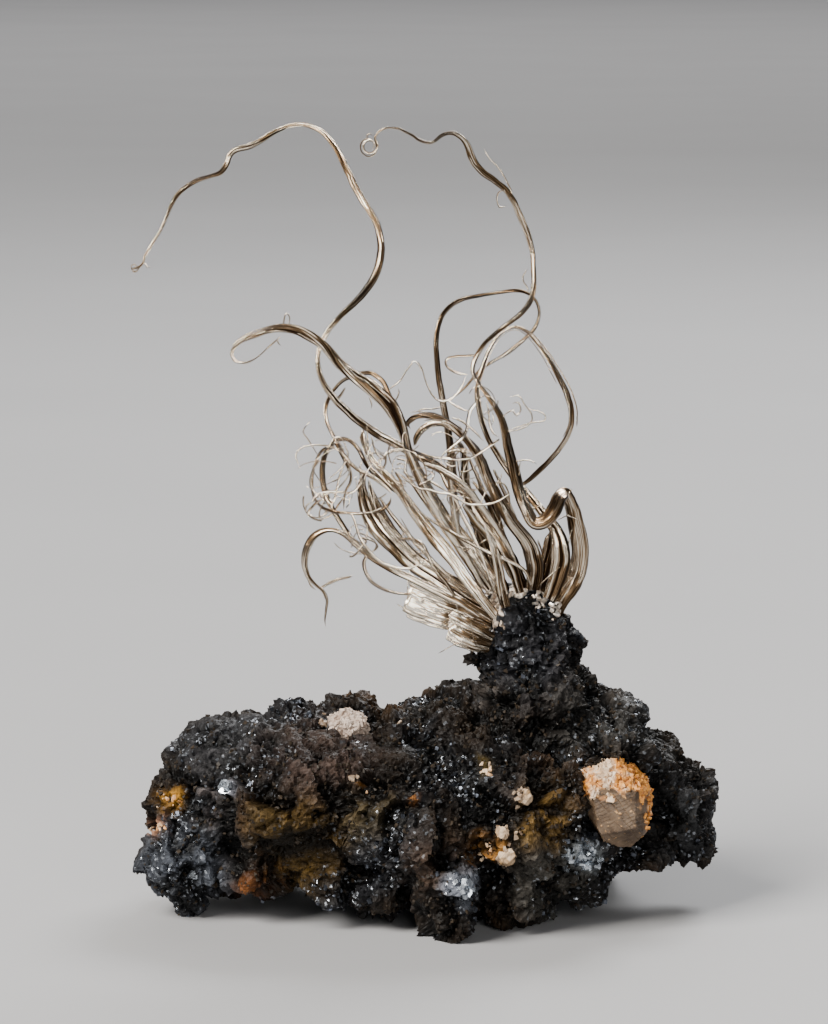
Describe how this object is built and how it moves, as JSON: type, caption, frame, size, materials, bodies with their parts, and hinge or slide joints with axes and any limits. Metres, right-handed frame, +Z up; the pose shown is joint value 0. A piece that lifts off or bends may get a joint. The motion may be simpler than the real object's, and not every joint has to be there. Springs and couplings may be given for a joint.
{
  "type": "native silver specimen",
  "caption": "Cabinet specimen of native silver: curled wires and ribbons of striated silver that rise from the neck of a dark sulphide rock with pale calcite and quartz.",
  "frame": {"origin": "on the surface the rock stands on, under the middle of the specimen's box", "axes": "+Z up from the feet to the top of the tendrils, +X to the right in the front view, +Y from front to back"},
  "size_m": [0.1009, 0.0675, 0.1344],
  "materials": {
    "ore": "rough dark sulphide ore",
    "calcite": "cloudy pale calcite with an orange iron stain",
    "quartz": "granular white quartz",
    "silver": "striated native silver with warm brown tarnish"
  },
  "bodies": {
    "root": {"ore_rock": "ore", "calcite_crystal": "calcite", "quartz_crust": "quartz", "white_grain_upper": "quartz", "white_grain_lower": "quartz", "yellow_grain": "quartz", "right_high_tendril": "silver", "right_loop": "silver", "brown_loop": "silver", "left_high_tendril": "silver", "left_curl": "silver", "small_hook": "silver", "central_arch": "silver", "rough_arch": "silver", "rough_blade": "silver", "front_blade": "silver", "inner_blade": "silver", "left_blade": "silver", "back_left_blade": "silver", "broad_sheet": "silver", "frayed_stub": "silver", "drooping_hook": "silver", "hook_tine": "silver", "low_loop": "silver", "brown_strand": "silver", "outer_loop": "silver", "upper_left_strand": "silver", "long_fine_wire": "silver", "crossing_wire": "silver", "curved_white_wire": "silver", "inner_right_blade": "silver", "brown_inner_ribbon": "silver", "wavy_wire": "silver", "second_column": "silver", "rough_stalk": "silver"}
  },
  "joints": []
}
